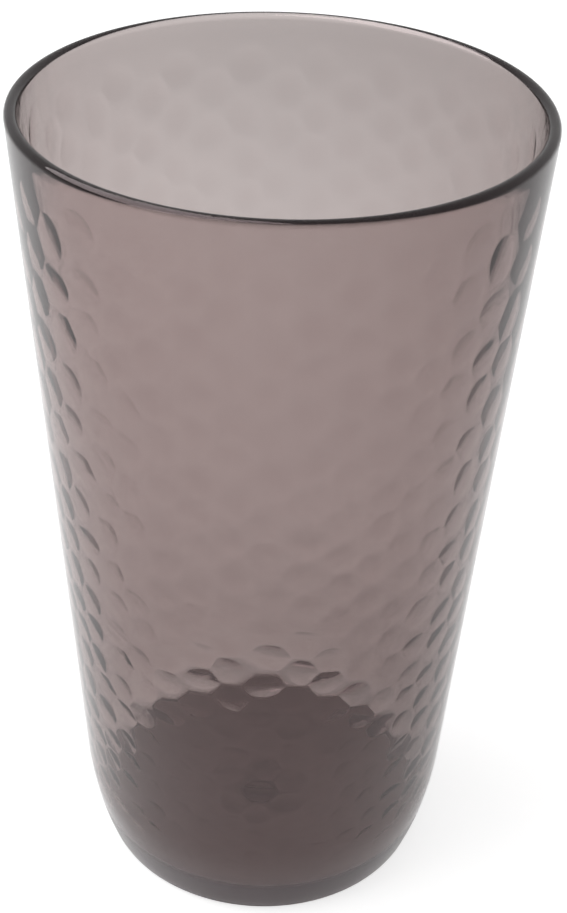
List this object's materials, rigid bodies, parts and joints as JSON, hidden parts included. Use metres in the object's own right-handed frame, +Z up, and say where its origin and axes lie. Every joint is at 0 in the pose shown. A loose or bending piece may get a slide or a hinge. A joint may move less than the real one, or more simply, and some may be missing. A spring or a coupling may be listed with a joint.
{
  "type": "drinking tumbler",
  "caption": "Tall tapered tumbler without a handle, in smoke-tinted clear plastic: smooth outside, a hammered pattern of flat pebbles inside, rounded lip and a hollowed foot.",
  "frame": {"origin": "on the axis of the tumbler, at the plane of the foot that it stands on", "axes": "+Z up along the axis of the tumbler, towards the mouth; the tumbler is the same all round"},
  "size_m": [0.096, 0.096, 0.1625],
  "materials": {
    "smoke_plastic": "clear smoke-tinted plastic, polished"
  },
  "bodies": {
    "root": {"base": "smoke_plastic", "hammered_wall": "smoke_plastic", "drinking_rim": "smoke_plastic"}
  },
  "joints": []
}
